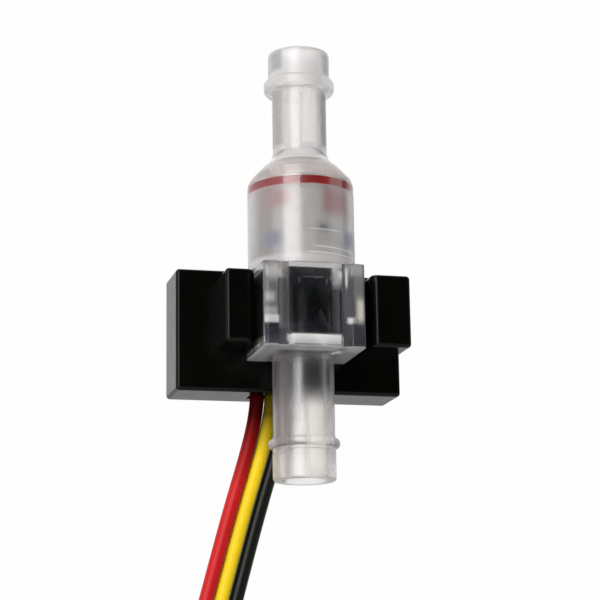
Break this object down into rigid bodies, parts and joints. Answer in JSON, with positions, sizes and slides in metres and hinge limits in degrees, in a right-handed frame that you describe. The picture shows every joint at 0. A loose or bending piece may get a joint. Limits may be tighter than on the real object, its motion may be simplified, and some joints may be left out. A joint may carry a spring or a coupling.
{
  "type": "water flow sensor",
  "caption": "In-line turbine flow sensor: clear flow line with a hose tail at either end, helical rotor inside, black optical pickup clipped round the clear block, tied wire lead",
  "frame": {"origin": "on the flow axis, at the middle of the inlet tail's tip, where the hose that holds the sensor grips", "axes": "+Z along the flow axis towards the inlet end, +X along the pickup's long side, +Y towards its rear cover"},
  "size_m": [0.0376, 0.0222, 0.14],
  "materials": {
    "clear_plastic": "clear, polished",
    "red_silicone": "satin",
    "rotor_black": "moulded, satin",
    "insert_plastic": "translucent, moulded",
    "steel": "ground",
    "jewel": "polished",
    "housing_black": "moulded, satin gloss",
    "board_green": "solder mask, satin",
    "chip_black": "moulded, matt",
    "diode_clear": "clear, tinted",
    "diode_dark": "dark filter plastic",
    "tinned": "tinned, dull",
    "solder": "dull",
    "capacitor_can": "bright can",
    "resistor_black": "glazed",
    "potting": "matt",
    "wire_red": "PVC, semi-gloss",
    "wire_yellow": "PVC, semi-gloss",
    "wire_black": "PVC, semi-gloss",
    "tie_black": "nylon, satin"
  },
  "bodies": {
    "body": {"inlet_cap": "clear_plastic", "flow_body": "clear_plastic", "seal_ring": "red_silicone", "flow_straightener": "insert_plastic", "inlet_bearing": "jewel", "outlet_bearing": "jewel", "outlet_spider": "rotor_black", "housing_shell": "housing_black", "rear_cover": "housing_black", "circuit_board": "board_green", "ir_emitter": "diode_clear", "emitter_leads": "tinned", "ir_receiver": "diode_dark", "receiver_leads": "tinned", "comparator_chip": "chip_black", "chip_legs": "tinned", "resistors": "resistor_black", "capacitor": "capacitor_can", "wire_seal": "potting", "inner_conductors": "tinned", "solder_joints": "solder", "red_wire": "wire_red", "red_wire_end": "tinned", "yellow_wire": "wire_yellow", "yellow_wire_end": "tinned", "black_wire": "wire_black", "black_wire_end": "tinned", "wire_tie": "tie_black"},
    "rotor": {"turbine_rotor": "rotor_black", "rotor_axle": "steel"}
  },
  "joints": [
    {"name": "rotor_spin", "type": "hinge", "parent": "body", "child": "rotor", "pos_m": [0, 0, -0.03948], "axis": [0, 0, 1], "continuous": true}
  ]
}
